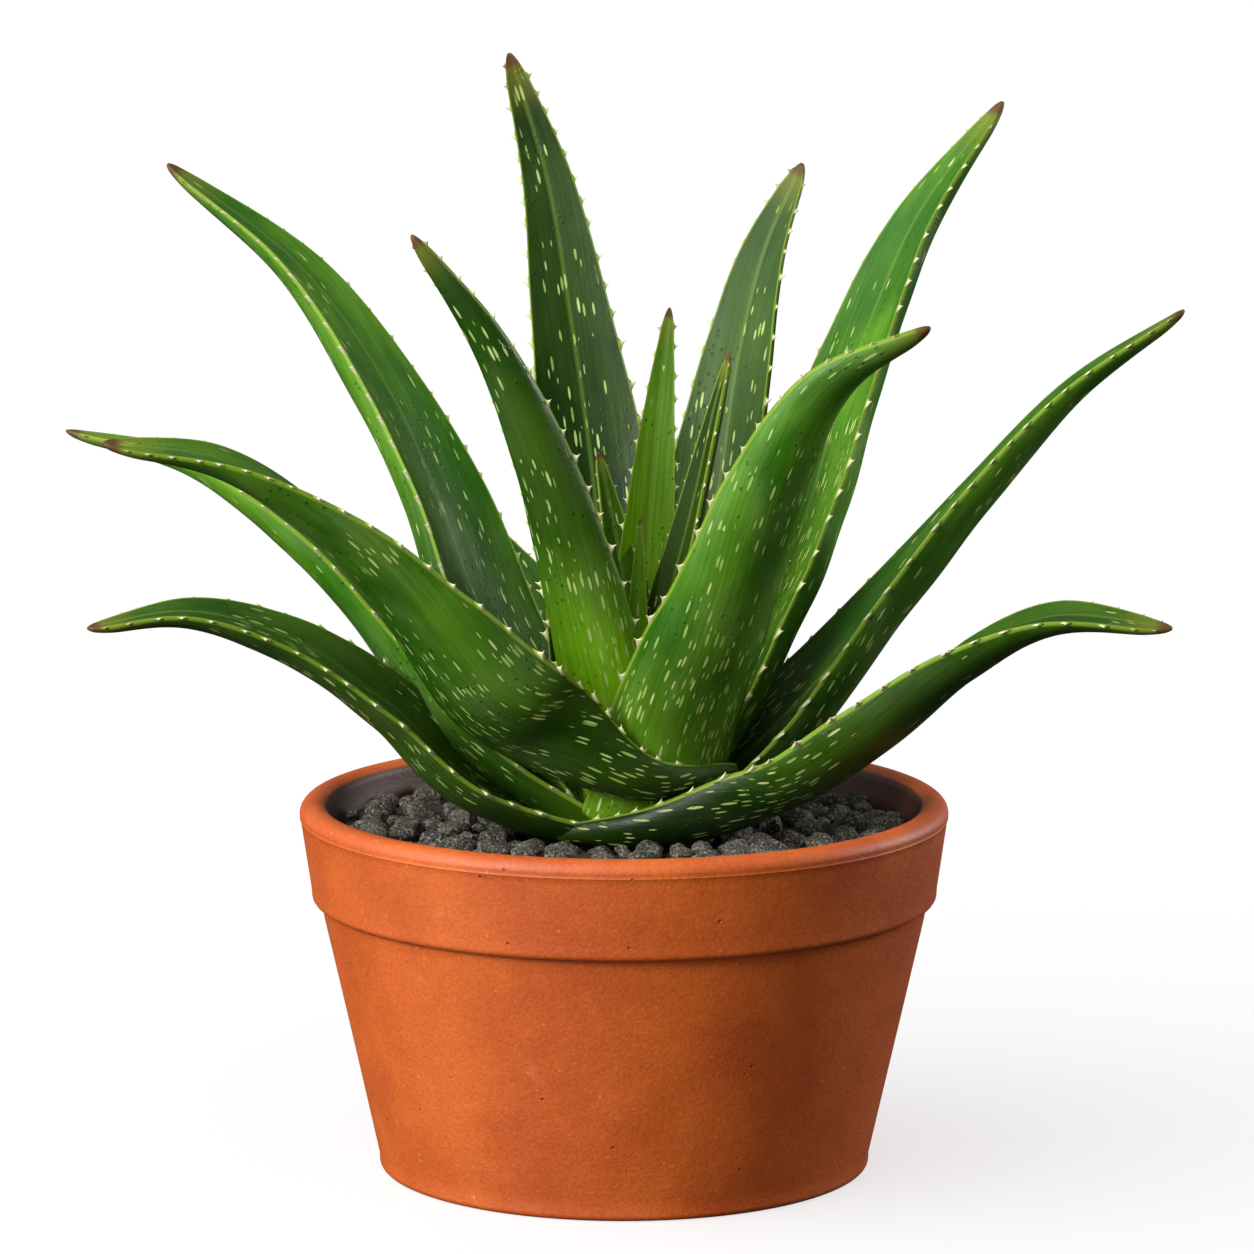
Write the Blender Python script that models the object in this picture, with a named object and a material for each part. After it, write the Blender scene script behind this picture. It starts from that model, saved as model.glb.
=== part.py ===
"""Potted aloe: a low terracotta pot with soil, a gravel top dressing and a rosette of thick leaves.

Metres, +Z up.  The origin is the centre of the pot's flat underside, and the front of the plant faces -Y.
"""

import math
import random
from collections import namedtuple

import bmesh
import bpy
import numpy as np
from mathutils import Vector
from mathutils.bvhtree import BVHTree

MM = 0.001
CLEARANCE = 0.3 * MM            # gap kept between pieces that touch

# Pot: a half pot with a deep plain rim band.
POT_HEIGHT = 115 * MM
FOOT_RADIUS = 76 * MM
FOOT_ROUNDING = 2 * MM
BODY_TOP_RADIUS = 93.5 * MM     # where the body meets the underside of the rim band
RIM_BOTTOM_Z = 84 * MM
RIM_BOTTOM_RADIUS = 96.5 * MM
RIM_RADIUS = 100 * MM
LIP_DROP = 5 * MM               # from the top of the lip down to its widest circle
LIP_INNER_RADIUS = 92 * MM
WALL = 8 * MM
FLOOR = 9 * MM
POT_SEGMENTS = 72
LIP_STEPS = 6
DRAIN_HOLES = 3
DRAIN_RADIUS = 5 * MM
DRAIN_CIRCLE = 34 * MM          # the holes stand off centre, so the middle of the foot is solid
DRAIN_SEGMENTS = 20

# Fill: soil, then a bed of small gravel, then larger loose stones lying in it.
SOIL_TOP = 95 * MM
BED_TOP = 104 * MM
BED_RIPPLE = 1.2 * MM           # height of the unevenness, and how it runs round and inwards
BED_RIPPLE_TURNS = 7
BED_RIPPLE_DRIFT = 2.4
BED_RIPPLE_FADE = 1.9
BED_INNER_RADIUS = 35 * MM      # the bed stops short of the leaf bases
BED_RINGS = 7
BED_SEGMENTS = 36
FILL_SEGMENTS = 48

STONE_LIMIT = 38
STONE_SPACING = 16.2 * MM
STONE_SIZES = ((5.0 * MM, 7.0 * MM), (4.2 * MM, 5.4 * MM), (3.4 * MM, 4.4 * MM))
STONE_SINK = 0.35               # part of the stone's height that lies below the bed's top
STONE_ZONE = (44 * MM, 79 * MM)
STONE_STEPS = (7, 5)            # facets round and from top to bottom
STONE_ROUGHNESS = 0.09
STONE_WAVES = (2.3, 2.9, 2.1)   # how closely the lumps follow each other along each axis
STONE_SEED = 11
STONE_TRIES = 4000

# Plant: a short stem standing in the soil, with the leaves around its crown.
STEM_CENTRE = (4 * MM, 0.0)
STEM_PROFILE = ((9, 62), (12, 70), (14, 84), (15, 100), (14, 108), (10, 114), (5, 117))
STEM_SEGMENTS = 20

LEAF_RINGS = 14
LEAF_LOWER_POINTS = 6
LEAF_UPPER_POINTS = 5
LEAF_THICKNESS = 0.36           # of the leaf's width, below its margins
LEAF_HOLLOW = 0.16              # of the leaf's width, the channel of the upper face at the base
LEAF_HOLLOW_FADE = 0.75         # the share of the channel that is gone at the tip
LEAF_EDGE = 1.0 * MM            # thickness of the margins
LEAF_THINNEST_EDGE = 0.3        # of the leaf's width, where it is narrow
LEAF_BACK_ROUNDNESS = 0.9       # below 1 the back is fuller than half an ellipse
SLIM_TAPER = (1.0, 1.0, 0.87, 0.66, 0.42, 0.12)
FULL_TAPER = (1.0, 1.0, 0.92, 0.73, 0.48, 0.13)
SLIM_CLASP = (0.08, 0.42, 1.0, 0.86, 0.62, 0.38, 0.12)
FULL_CLASP = (0.12, 0.50, 0.90, 1.0, 0.80, 0.48, 0.13)
TIP_SHARE = 0.05                # of the leaf's length, where it rounds off

# path: the middle of the leaf from the crown to its tip, in mm.  facing: the direction in degrees
# that the back of the leaf turns to, from +X.  roll: its twist in degrees along the path.
Leaf = namedtuple("Leaf", "name path facing width taper roll", defaults=(SLIM_TAPER, (0, 0)))

# From the heart outwards: each leaf is cut back to clear the ones before it, which it clasps.
LEAVES = (
    Leaf("leaf_heart_small", ((4, 0, 117), (4, 0, 164), (5, 0, 202)), 90, 10),
    Leaf("leaf_heart_left", ((6, 2, 116), (1, 6, 175), (-4, 9, 203), (-8, 10, 221)), 112, 18),
    Leaf("leaf_heart_right", ((5, 0, 116), (10, -4, 167), (18, -6, 199), (25, -7, 227), (32, -8, 254)),
         30, 20),
    Leaf("leaf_heart_tall", ((4, 4, 116), (7, 8, 187), (11, 12, 236), (14, 15, 265)), 90, 22),
    Leaf("leaf_back_tall",
         ((3, 8, 114), (-6, 26, 184), (-11, 40, 223), (-17, 51, 261), (-24, 60, 300), (-36, 66, 339)),
         95, 41),
    Leaf("leaf_back_right",
         ((6, 8, 114), (20, 22, 172), (27, 36, 205), (35, 50, 245), (44, 62, 279), (56, 71, 304)),
         60, 38, FULL_TAPER),
    Leaf("leaf_front_left",
         ((2, -4, 113), (-7, -14, 160), (-14, -24, 190), (-25, -34, 227), (-40, -42, 261), (-63, -48, 294)),
         255, 28),
    Leaf("leaf_left_high",
         ((0, 4, 111), (-34, 16, 159), (-54, 34, 206), (-73, 50, 238), (-100, 66, 272), (-144, 80, 303)),
         150, 44, FULL_TAPER),
    Leaf("leaf_right_high",
         ((6, 2, 111), (37, 16, 169), (55, 32, 206), (71, 47, 247), (90, 62, 287), (119, 76, 323)),
         35, 42, FULL_TAPER),
    Leaf("leaf_rear_left", ((0, 8, 109), (-16, 46, 138), (-32, 84, 168), (-50, 124, 186)), 113, 36),
    Leaf("leaf_rear_right", ((8, 6, 109), (24, 42, 140), (40, 80, 174), (60, 116, 192)), 64, 34),
    Leaf("leaf_front_right",
         ((6, -8, 112), (20, -24, 161), (32, -38, 191), (43, -50, 222), (62, -60, 253), (90, -68, 269)),
         -65, 43),
    Leaf("leaf_right_middle",
         ((6, 0, 109), (46, 4, 143), (76, 8, 177), (105, 12, 210), (136, 15, 241), (172, 18, 264)),
         -8, 42, SLIM_TAPER, (24, 20, 10, 4, 2, 2)),
    Leaf("leaf_left_middle_rear",
         ((2, 0, 109), (-37, 0, 133), (-67, 2, 165), (-99, 4, 199), (-133, 6, 220), (-171, 8, 228)),
         185, 36, SLIM_TAPER, (-6, -6)),
    Leaf("leaf_left_middle_front",
         ((34, -17, 127), (8, -31, 127), (-26, -31, 148), (-56, -44, 183), (-84, -60, 212), (-116, -74, 231),
          (-152, -86, 237)),
         226, 48, SLIM_CLASP, (80, 42, 8, -4, -10, -21, -28)),
    Leaf("leaf_right_low",
         ((-20, -22, 108), (10, -29, 112), (43, -27, 126), (73, -40, 149), (99, -53, 171), (126, -64, 183),
          (162, -73, 180)),
         -25, 36, FULL_CLASP, (-80, -46, -12, -6, 4, 14, 18)),
    Leaf("leaf_left_low",
         ((4, -2, 106), (-42, -17, 126), (-70, -31, 153), (-101, -44, 174), (-130, -56, 183),
          (-159, -67, 179)),
         182, 35, FULL_TAPER, (0, -6, -12, -14, -14, -14)),
)

Finish = namedtuple("Finish", "colour roughness")
TERRACOTTA = Finish((0.62, 0.23, 0.10), 0.85)
SOIL = Finish((0.05, 0.035, 0.025), 0.95)
GRAVEL = Finish((0.07, 0.065, 0.06), 0.9)
STONE = Finish((0.10, 0.095, 0.09), 0.85)
LEAF_GREEN = Finish((0.07, 0.20, 0.05), 0.4)
STEM_GREEN = Finish((0.35, 0.42, 0.16), 0.6)


def clear_scene():
    for thing in list(bpy.data.objects):
        bpy.data.objects.remove(thing, do_unlink=True)


def material(name, finish):
    made = bpy.data.materials.new(name)
    made.use_nodes = True
    shader = made.node_tree.nodes["Principled BSDF"]
    shader.inputs["Base Color"].default_value = (*finish.colour, 1.0)
    shader.inputs["Roughness"].default_value = finish.roughness
    shader.inputs["Metallic"].default_value = 0.0
    return made


def object_from(name, points, faces, finish=None, crease=35.0):
    """A closed mesh object; without a finish it is only a cutter."""
    mesh = bpy.data.meshes.new(name)
    mesh.from_pydata([tuple(point) for point in points], [], faces)
    shape = bmesh.new()
    shape.from_mesh(mesh)
    bmesh.ops.recalc_face_normals(shape, faces=shape.faces)
    shape.to_mesh(mesh)
    shape.free()
    made = bpy.data.objects.new(name, mesh)
    bpy.context.scene.collection.objects.link(made)
    if finish is None:
        made.hide_render = True
        made.display_type = "WIRE"
    else:
        mesh.materials.append(material(name, finish))
        mesh.shade_smooth()
        mesh.set_sharp_from_angle(angle=math.radians(crease))
    return made


def bands(rings, joins):
    """Faces around equal rings of points, for each pair of ring numbers to join."""
    count = len(rings[0])
    faces = []
    for first, second in joins:
        for step in range(count):
            beside = (step + 1) % count
            here = (first * count + step, first * count + beside)
            there = (second * count + beside, second * count + step)
            faces.append(here + there)
    return faces


def skin(rings):
    """Points and faces through rings that follow each other, closed by a flat cap at each end."""
    count = len(rings[0])
    last = (len(rings) - 1) * count
    faces = bands(rings, [(ring, ring + 1) for ring in range(len(rings) - 1)])
    faces.append(tuple(range(count)))
    faces.append(tuple(range(last, last + count)))
    return [point for ring in rings for point in ring], faces


def hoop(rings):
    """Points and faces through rings that follow each other back to the first, as on a tyre."""
    faces = bands(rings, [(ring, (ring + 1) % len(rings)) for ring in range(len(rings))])
    return [point for ring in rings for point in ring], faces


def turned(name, profile, segments, finish, centre=(0.0, 0.0)):
    """A solid turned about a vertical axis, with a flat cap at each end of its profile."""
    rings = []
    for radius, z in profile:
        rings.append([
            (
                centre[0] + radius * math.cos(math.tau * step / segments),
                centre[1] + radius * math.sin(math.tau * step / segments),
                z,
            )
            for step in range(segments)
        ])
    return object_from(name, *skin(rings), finish)


def keep_largest_piece(target):
    """Drop the loose scraps that a cut leaves beside the main body."""
    shape = bmesh.new()
    shape.from_mesh(target.data)
    waiting = set(shape.verts)
    pieces = []
    while waiting:
        start = waiting.pop()
        piece = [start]
        for corner in piece:
            for edge in corner.link_edges:
                other = edge.other_vert(corner)
                if other in waiting:
                    waiting.remove(other)
                    piece.append(other)
        pieces.append(piece)

    def reach(piece):
        return sum((max(v.co[axis] for v in piece) - min(v.co[axis] for v in piece)) for axis in range(3))

    pieces.sort(key=reach)
    scraps = [corner for piece in pieces[:-1] for corner in piece]
    bmesh.ops.delete(shape, geom=scraps, context="VERTS")
    shape.to_mesh(target.data)
    shape.free()


def cut_away(target, cutters):
    """Take the cutters out of the target and keep its main body."""
    for cutter in cutters:
        cut = target.modifiers.new("clearance", "BOOLEAN")
        cut.operation = "DIFFERENCE"
        cut.solver = "EXACT"
        cut.use_self = True
        cut.object = cutter
    finished = target.evaluated_get(bpy.context.evaluated_depsgraph_get())
    mesh = bpy.data.meshes.new_from_object(finished)
    target.modifiers.clear()
    target.data = mesh
    keep_largest_piece(target)


def tree_of(thing):
    return BVHTree.FromPolygons(
        [corner.co for corner in thing.data.vertices], [tuple(face.vertices) for face in thing.data.polygons]
    )


def touching(thing, others):
    mine = tree_of(thing)
    return [other for other in others if mine.overlap(tree_of(other))]


def along(keys, place):
    """A smooth value at each place from 0 to 1, through evenly spaced keys."""
    keys = np.asarray(keys, float)
    spans = len(keys) - 1
    position = np.clip(place * spans, 0, spans - 1e-9)
    first = position.astype(int)
    part = position - first
    slope = np.gradient(keys)
    return (
        (2 * part**3 - 3 * part**2 + 1) * keys[first]
        + (part**3 - 2 * part**2 + part) * slope[first]
        + (3 * part**2 - 2 * part**3) * keys[first + 1]
        + (part**3 - part**2) * slope[first + 1]
    )


def smooth_path(points, count):
    """Evenly spaced points on a smooth curve through the given ones."""
    points = np.asarray(points, float)
    marks = np.r_[0, np.cumsum(np.linalg.norm(np.diff(points, axis=0), axis=1))]
    slope = np.gradient(points, marks, axis=0)
    fine = np.linspace(0, marks[-1], 40 * len(points))
    first = np.clip(np.searchsorted(marks, fine, side="right") - 1, 0, len(marks) - 2)
    span = (marks[first + 1] - marks[first])[:, None]
    part = ((fine - marks[first]) / span[:, 0])[:, None]
    curve = (
        (2 * part**3 - 3 * part**2 + 1) * points[first]
        + (part**3 - 2 * part**2 + part) * span * slope[first]
        + (3 * part**2 - 2 * part**3) * points[first + 1]
        + (part**3 - part**2) * span * slope[first + 1]
    )
    walked = np.r_[0, np.cumsum(np.linalg.norm(np.diff(curve, axis=0), axis=1))]
    wanted = np.linspace(0, walked[-1], count)
    return np.stack([np.interp(wanted, walked, curve[:, axis]) for axis in range(3)], axis=1)


def leaf_frames(leaf):
    """Middle points, side directions and upward directions of the leaf's cross-sections."""
    middle = smooth_path(np.array(leaf.path) * MM, LEAF_RINGS)
    ahead = np.gradient(middle, axis=0)
    ahead /= np.linalg.norm(ahead, axis=1)[:, None]
    turn = math.radians(leaf.facing)
    side = np.tile([-math.sin(turn), math.cos(turn), 0.0], (LEAF_RINGS, 1))
    side -= ahead * (side * ahead).sum(axis=1)[:, None]
    side /= np.linalg.norm(side, axis=1)[:, None]
    upward = np.cross(ahead, side)
    roll = np.radians(along(leaf.roll, np.linspace(0, 1, LEAF_RINGS)))[:, None]
    rolled_side = side * np.cos(roll) + upward * np.sin(roll)
    rolled_up = upward * np.cos(roll) - side * np.sin(roll)
    return middle, ahead, rolled_side, rolled_up


def leaf_section(width, hollow, grow):
    """One cross-section, across and up: a round back and a channelled upper face."""
    edge = min(LEAF_EDGE, LEAF_THINNEST_EDGE * width)
    across = width / 2 + grow
    section = []
    for turn in np.linspace(0, math.pi, LEAF_LOWER_POINTS):
        drop = LEAF_THICKNESS * width * math.sin(turn) ** LEAF_BACK_ROUNDNESS
        section.append((across * math.cos(turn), -edge / 2 - drop - grow))
    for place in np.linspace(-1, 1, LEAF_UPPER_POINTS):
        section.append((across * place, edge / 2 - hollow * width * (1 - place**2) + grow))
    return section


def rounded_tip(place):
    """How much of its width the leaf keeps where its tip rounds off."""
    beyond = np.clip((place - 1 + TIP_SHARE) / TIP_SHARE, 0, 1)
    return np.sqrt(1 - 0.95 * beyond**2)


def leaf_mesh(leaf, grow=0.0):
    """Points and faces of a leaf, optionally grown all round to serve as a cutter."""
    middle, ahead, side, upward = leaf_frames(leaf)
    place = np.linspace(0, 1, LEAF_RINGS)
    widths = leaf.width * MM * along(leaf.taper, place) * rounded_tip(place)
    middle[0] -= ahead[0] * grow
    middle[-1] += ahead[-1] * grow
    rings = []
    for ring in range(LEAF_RINGS):
        hollow = LEAF_HOLLOW * (1 - LEAF_HOLLOW_FADE * place[ring])
        section = leaf_section(widths[ring], hollow, grow)
        rings.append([middle[ring] + side[ring] * x + upward[ring] * y for x, y in section])
    return skin(rings)


def stem():
    profile = [(radius * MM, z * MM) for radius, z in STEM_PROFILE]
    return turned("stem", profile, STEM_SEGMENTS, STEM_GREEN, STEM_CENTRE)


def stem_cutter():
    profile = [(radius * MM + CLEARANCE, z * MM) for radius, z in STEM_PROFILE]
    profile[0] = (profile[0][0], profile[0][1] - CLEARANCE)
    profile[-1] = (profile[-1][0], profile[-1][1] + CLEARANCE)
    return turned("stem_cutter", profile, STEM_SEGMENTS, None, STEM_CENTRE)


def leaves(stem_shape):
    """Every leaf, cut back from the stem and from the leaves nearer the heart.  Also their cutters."""
    made = []
    cutters = [stem_shape]
    for leaf in LEAVES:
        blade = object_from(leaf.name, *leaf_mesh(leaf), LEAF_GREEN, crease=60.0)
        cut_away(blade, touching(blade, cutters))
        made.append(blade)
        cutters.append(object_from(leaf.name + "_cutter", *leaf_mesh(leaf, CLEARANCE)))
    return made, cutters


def inner_radius(z):
    """Radius of the pot's inner wall, which runs parallel to its outside."""
    slope = (BODY_TOP_RADIUS - FOOT_RADIUS) / RIM_BOTTOM_Z
    return FOOT_RADIUS + slope * z - WALL


def pot():
    lip_centre_z = POT_HEIGHT - LIP_DROP
    lip_half_width = (RIM_RADIUS - LIP_INNER_RADIUS) / 2
    lip_centre = LIP_INNER_RADIUS + lip_half_width
    lip = [
        (
            lip_centre + lip_half_width * math.cos(math.pi * step / LIP_STEPS),
            lip_centre_z + LIP_DROP * math.sin(math.pi * step / LIP_STEPS),
        )
        for step in range(LIP_STEPS + 1)
    ]
    under_lip_z = lip_centre_z - LIP_DROP
    profile = [
        (FOOT_RADIUS - FOOT_ROUNDING, 0.0),
        (FOOT_RADIUS, FOOT_ROUNDING),
        (BODY_TOP_RADIUS, RIM_BOTTOM_Z),
        (RIM_BOTTOM_RADIUS, RIM_BOTTOM_Z),
        *lip,
        (inner_radius(under_lip_z), under_lip_z),
        (inner_radius(FLOOR + FOOT_ROUNDING), FLOOR + FOOT_ROUNDING),
        (inner_radius(FLOOR) - FOOT_ROUNDING, FLOOR),
    ]
    # The two ends of the profile are closed by flat caps: the foot below and the floor above.
    body = turned("pot", profile, POT_SEGMENTS, TERRACOTTA)
    drills = []
    for hole in range(DRAIN_HOLES):
        turn = math.tau * (hole + 0.25) / DRAIN_HOLES
        place = (DRAIN_CIRCLE * math.cos(turn), DRAIN_CIRCLE * math.sin(turn))
        drill = [(DRAIN_RADIUS, -FLOOR), (DRAIN_RADIUS, 2 * FLOOR)]
        drills.append(turned(f"drill_{hole}", drill, DRAIN_SEGMENTS, None, place))
    cut_away(body, drills)
    remove(drills)
    return body


def soil(stem_shape):
    bottom = FLOOR + CLEARANCE
    profile = [
        (inner_radius(bottom) - FOOT_ROUNDING - CLEARANCE, bottom),
        (inner_radius(bottom + FOOT_ROUNDING) - CLEARANCE, bottom + FOOT_ROUNDING),
        (inner_radius(SOIL_TOP) - CLEARANCE, SOIL_TOP),
    ]
    body = turned("soil", profile, FILL_SEGMENTS, SOIL)
    cut_away(body, [stem_shape])
    return body


def gravel_bed(stone_cutters):
    """The small gravel as one ring with an uneven top, clear of the loose stones that lie in it."""
    bottom = SOIL_TOP + CLEARANCE
    outer = inner_radius(bottom) - CLEARANCE
    rings = []
    for ring in range(BED_RINGS):
        radius = outer + (BED_INNER_RADIUS - outer) * ring / (BED_RINGS - 1)
        points = []
        for step in range(BED_SEGMENTS):
            turn = math.tau * step / BED_SEGMENTS
            wave = math.sin(BED_RIPPLE_TURNS * turn + BED_RIPPLE_DRIFT * ring)
            height = BED_TOP + BED_RIPPLE * wave * math.cos(BED_RIPPLE_FADE * ring)
            points.append((radius * math.cos(turn), radius * math.sin(turn), height))
        rings.append(points)
    outer_foot = [(x, y, bottom) for x, y, _ in rings[0]]
    inner_foot = [(x, y, bottom) for x, y, _ in rings[-1]]
    body = object_from("gravel_bed", *hoop([outer_foot] + rings + [inner_foot]), GRAVEL)
    cut_away(body, stone_cutters)
    return body


def stone_points(centre, sizes, heading, seed, grow=0.0):
    """A rounded, slightly lumpy stone as points and faces."""
    shape = bmesh.new()
    bmesh.ops.create_uvsphere(shape, u_segments=STONE_STEPS[0], v_segments=STONE_STEPS[1], radius=1.0)
    turn = math.radians(heading)
    points = []
    for corner in shape.verts:
        way = corner.co.normalized()
        waves = [STONE_WAVES[axis] * way[axis] for axis in range(3)]
        lump = math.sin(waves[0] + seed) * math.cos(waves[1] - seed) * math.sin(waves[2] + 2 * seed)
        scale = 1 + STONE_ROUGHNESS * lump
        across, deep, tall = (way[axis] * (sizes[axis] * scale + grow) for axis in range(3))
        points.append((
            centre[0] + across * math.cos(turn) - deep * math.sin(turn),
            centre[1] + across * math.sin(turn) + deep * math.cos(turn),
            centre[2] + tall,
        ))
    faces = [tuple(corner.index for corner in face.verts) for face in shape.faces]
    shape.free()
    return points, faces


def loose_stones(plant):
    """Loose stones scattered over the bed, clear of each other and of the plant."""
    chance = random.Random(STONE_SEED)
    trees = [tree_of(thing) for thing in plant]
    stones = []
    cutters = []
    centres = []
    for _ in range(STONE_TRIES):
        if len(stones) == STONE_LIMIT:
            break
        radius = math.sqrt(chance.uniform(STONE_ZONE[0] ** 2, STONE_ZONE[1] ** 2))
        turn = chance.uniform(0, math.tau)
        sizes = [chance.uniform(*limits) for limits in STONE_SIZES]
        heading = chance.uniform(0, 180)
        height = BED_TOP + sizes[2] * (1 - 2 * STONE_SINK)
        centre = Vector((radius * math.cos(turn), radius * math.sin(turn), height))
        if any((centre - other).length < STONE_SPACING for other in centres):
            continue
        room = sizes[0] * (1 + STONE_ROUGHNESS) + 2 * CLEARANCE
        if any(tree.find_nearest(centre, room)[0] for tree in trees):
            continue
        name = f"gravel_stone_{len(stones) + 1:02d}"
        seed = len(stones)
        stones.append(object_from(name, *stone_points(centre, sizes, heading, seed), STONE, crease=60.0))
        grown = stone_points(centre, sizes, heading, seed, CLEARANCE)
        cutters.append(object_from(name + "_cutter", *grown))
        centres.append(centre)
    return stones, cutters


def remove(things):
    for thing in things:
        bpy.data.objects.remove(thing, do_unlink=True)


def build():
    clear_scene()
    pot()
    stem()
    stem_shape = stem_cutter()
    soil(stem_shape)
    _, plant_cutters = leaves(stem_shape)
    _, stone_cutters = loose_stones(plant_cutters)
    gravel_bed(stone_cutters)
    remove(plant_cutters + stone_cutters)


build()
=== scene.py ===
import math
from collections import namedtuple

import bmesh
import bpy
import numpy as np
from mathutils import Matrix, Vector
from mathutils.bvhtree import BVHTree


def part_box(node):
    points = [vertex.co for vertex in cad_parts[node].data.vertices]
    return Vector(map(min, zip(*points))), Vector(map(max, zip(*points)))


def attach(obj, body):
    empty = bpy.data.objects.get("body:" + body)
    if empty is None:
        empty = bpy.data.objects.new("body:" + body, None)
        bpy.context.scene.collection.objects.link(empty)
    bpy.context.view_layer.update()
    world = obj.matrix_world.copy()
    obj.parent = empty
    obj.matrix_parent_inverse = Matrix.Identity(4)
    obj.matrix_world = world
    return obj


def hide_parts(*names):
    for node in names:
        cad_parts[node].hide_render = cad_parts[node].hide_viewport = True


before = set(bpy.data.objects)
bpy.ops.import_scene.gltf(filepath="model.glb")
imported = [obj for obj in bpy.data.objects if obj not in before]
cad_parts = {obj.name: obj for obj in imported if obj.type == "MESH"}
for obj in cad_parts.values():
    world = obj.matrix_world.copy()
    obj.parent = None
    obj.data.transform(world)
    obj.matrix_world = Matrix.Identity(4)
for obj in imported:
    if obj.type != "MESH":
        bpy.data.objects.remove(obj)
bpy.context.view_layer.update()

MM = 0.001
ROOT = "root"

# ---------------------------------------------------------------- Driving values

# The pot's outline follows the CAD pot's box; these are its own details.
POT_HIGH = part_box("pot")[1]
POT_HEIGHT = POT_HIGH[2]
RIM_RADIUS = POT_HIGH[0]
FOOT_RADIUS = 76 * MM
FOOT_ROUNDING = 2 * MM
BODY_TOP_RADIUS = 93.5 * MM
RIM_BOTTOM_Z = 84 * MM
RIM_BOTTOM_RADIUS = 96.5 * MM
RIM_EDGE_ROUNDING = 2.0 * MM
LIP_DROP = 4 * MM
LIP_INNER_RADIUS = 91 * MM
WALL = 8 * MM
FLOOR = 9 * MM
MOULD_LINE_Z = 109.8 * MM
MOULD_LINE_HEIGHT = 0.25 * MM
DRAIN_HOLES = 3
DRAIN_RADIUS = 5 * MM
DRAIN_CIRCLE = 34 * MM
DRAIN_SEGMENTS = 48
POT_SEGMENTS = 256
POT_UNEVENNESS = 0.12 * MM
POT_EVEN_FOOT = 3 * MM          # below this height the pot is exactly round
POT_SHRINK = 0.1 * MM           # keeps the uneven wall inside the CAD pot's box
POT_SHARP_ANGLE = 50            # edges bent more than this many degrees stay sharp
POT_SEED = 8

BED_TOP = 104 * MM
GRAVEL_INNER = 14 * MM
GRAVEL_OUTER = 87 * MM
GRAVEL_OVERHANG = 2 * MM
GRAVEL_SEED = 21
GRAVEL_TRIES = 9000             # the first half for middling stones, the second half for small ones
MIDDLING_STONE = (4.2, 6.4)     # range of half lengths in mm
SMALL_STONE = (2.6, 4.0)
STONE_LIFT = (-0.8, 2.6)        # range in mm of a stone's middle above the bed
STONE_CROWDING = 0.97           # stones keep this share of their summed half lengths apart
STONE_LEAF_GAP = 0.9            # and this share of their half length away from the leaves
STONE_TONE = (0.10, 0.14)       # mean and spread of how pale a stone is
STONE_LUMPS = 0.09              # these and the next are in half lengths of the stone
STONE_ROUGHNESS = ((9.0, 0.018), (24.0, 0.012))
STONE_FLAT_SIDES = 9
STONE_FLAT_PLACES = (0.62, 0.84)  # range of the flat sides' distances from the middle
STONE_FLATNESS = 0.92           # how much of what lies beyond a flat side is taken off
STONE_TILT = 0.25

LEAF_RING_STEP = 1.0 * MM
LEAF_SMOOTHINGS = 12            # passes that even out the direction along the leaf
LEAF_LOWER_POINTS = 27
LEAF_UPPER_POINTS = 19
LEAF_THICKNESS = 0.36           # from the margins down to the keel, in leaf widths
LEAF_BACK_SHARPNESS = 1.1       # above 1 the back meets the margins at a sharper angle
LEAF_HOLLOW = 0.16              # from the margins down to the midline above, in leaf widths
LEAF_HOLLOW_FADE = 0.75         # how much of the hollow is gone at the tip
LEAF_EDGE = 1.0 * MM
LEAF_EDGE_SHARE = 0.3           # the edge is never thicker than this share of the width
LEAF_LEAST_WIDTH = 0.5 * MM
LEAF_CREASE = (0.018, 0.07)     # depth and half width of the midline crease, in leaf widths
LEAF_WOBBLE = 2.5               # degrees of uneven twist at the tip
LEAF_SEEDS = 100
SLIM_TAPER = (1.0, 1.0, 0.87, 0.66, 0.42, 0.12)
FULL_TAPER = (1.0, 1.0, 0.92, 0.73, 0.48, 0.13)
SLIM_CLASP = (0.08, 0.42, 1.0, 0.86, 0.62, 0.38, 0.12)
FULL_CLASP = (0.12, 0.50, 0.90, 1.0, 0.80, 0.48, 0.13)
TIP_SHARE = 0.05                # of the leaf's length, where it rounds off
TOOTH_SPACING = 12.0 * MM
TOOTH_HEIGHT = 2.9 * MM
TOOTH_FIRST = (8 * MM, 16 * MM)  # range of the first tooth's distance from the crown
TOOTH_LAST = 0.985              # share of the leaf's length where the teeth end
TOOTH_FULL_WIDTH = 28 * MM      # narrower leaves have smaller teeth
TOOTH_LEVELS = (0.0, 0.16, 0.36, 0.60, 0.82, 1.0)
TOOTH_POINTS = 6
TOOTH_FOOT = (1.25, 0.22)       # half length along the margin and half depth, in tooth heights
TOOTH_POINT = (0.045, 0.03)     # the same at its point
TOOTH_ROOT = 0.15               # how far it starts inside the leaf, in tooth heights
TOOTH_HOOK = 0.55               # how far its point leans towards the leaf's tip

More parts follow.
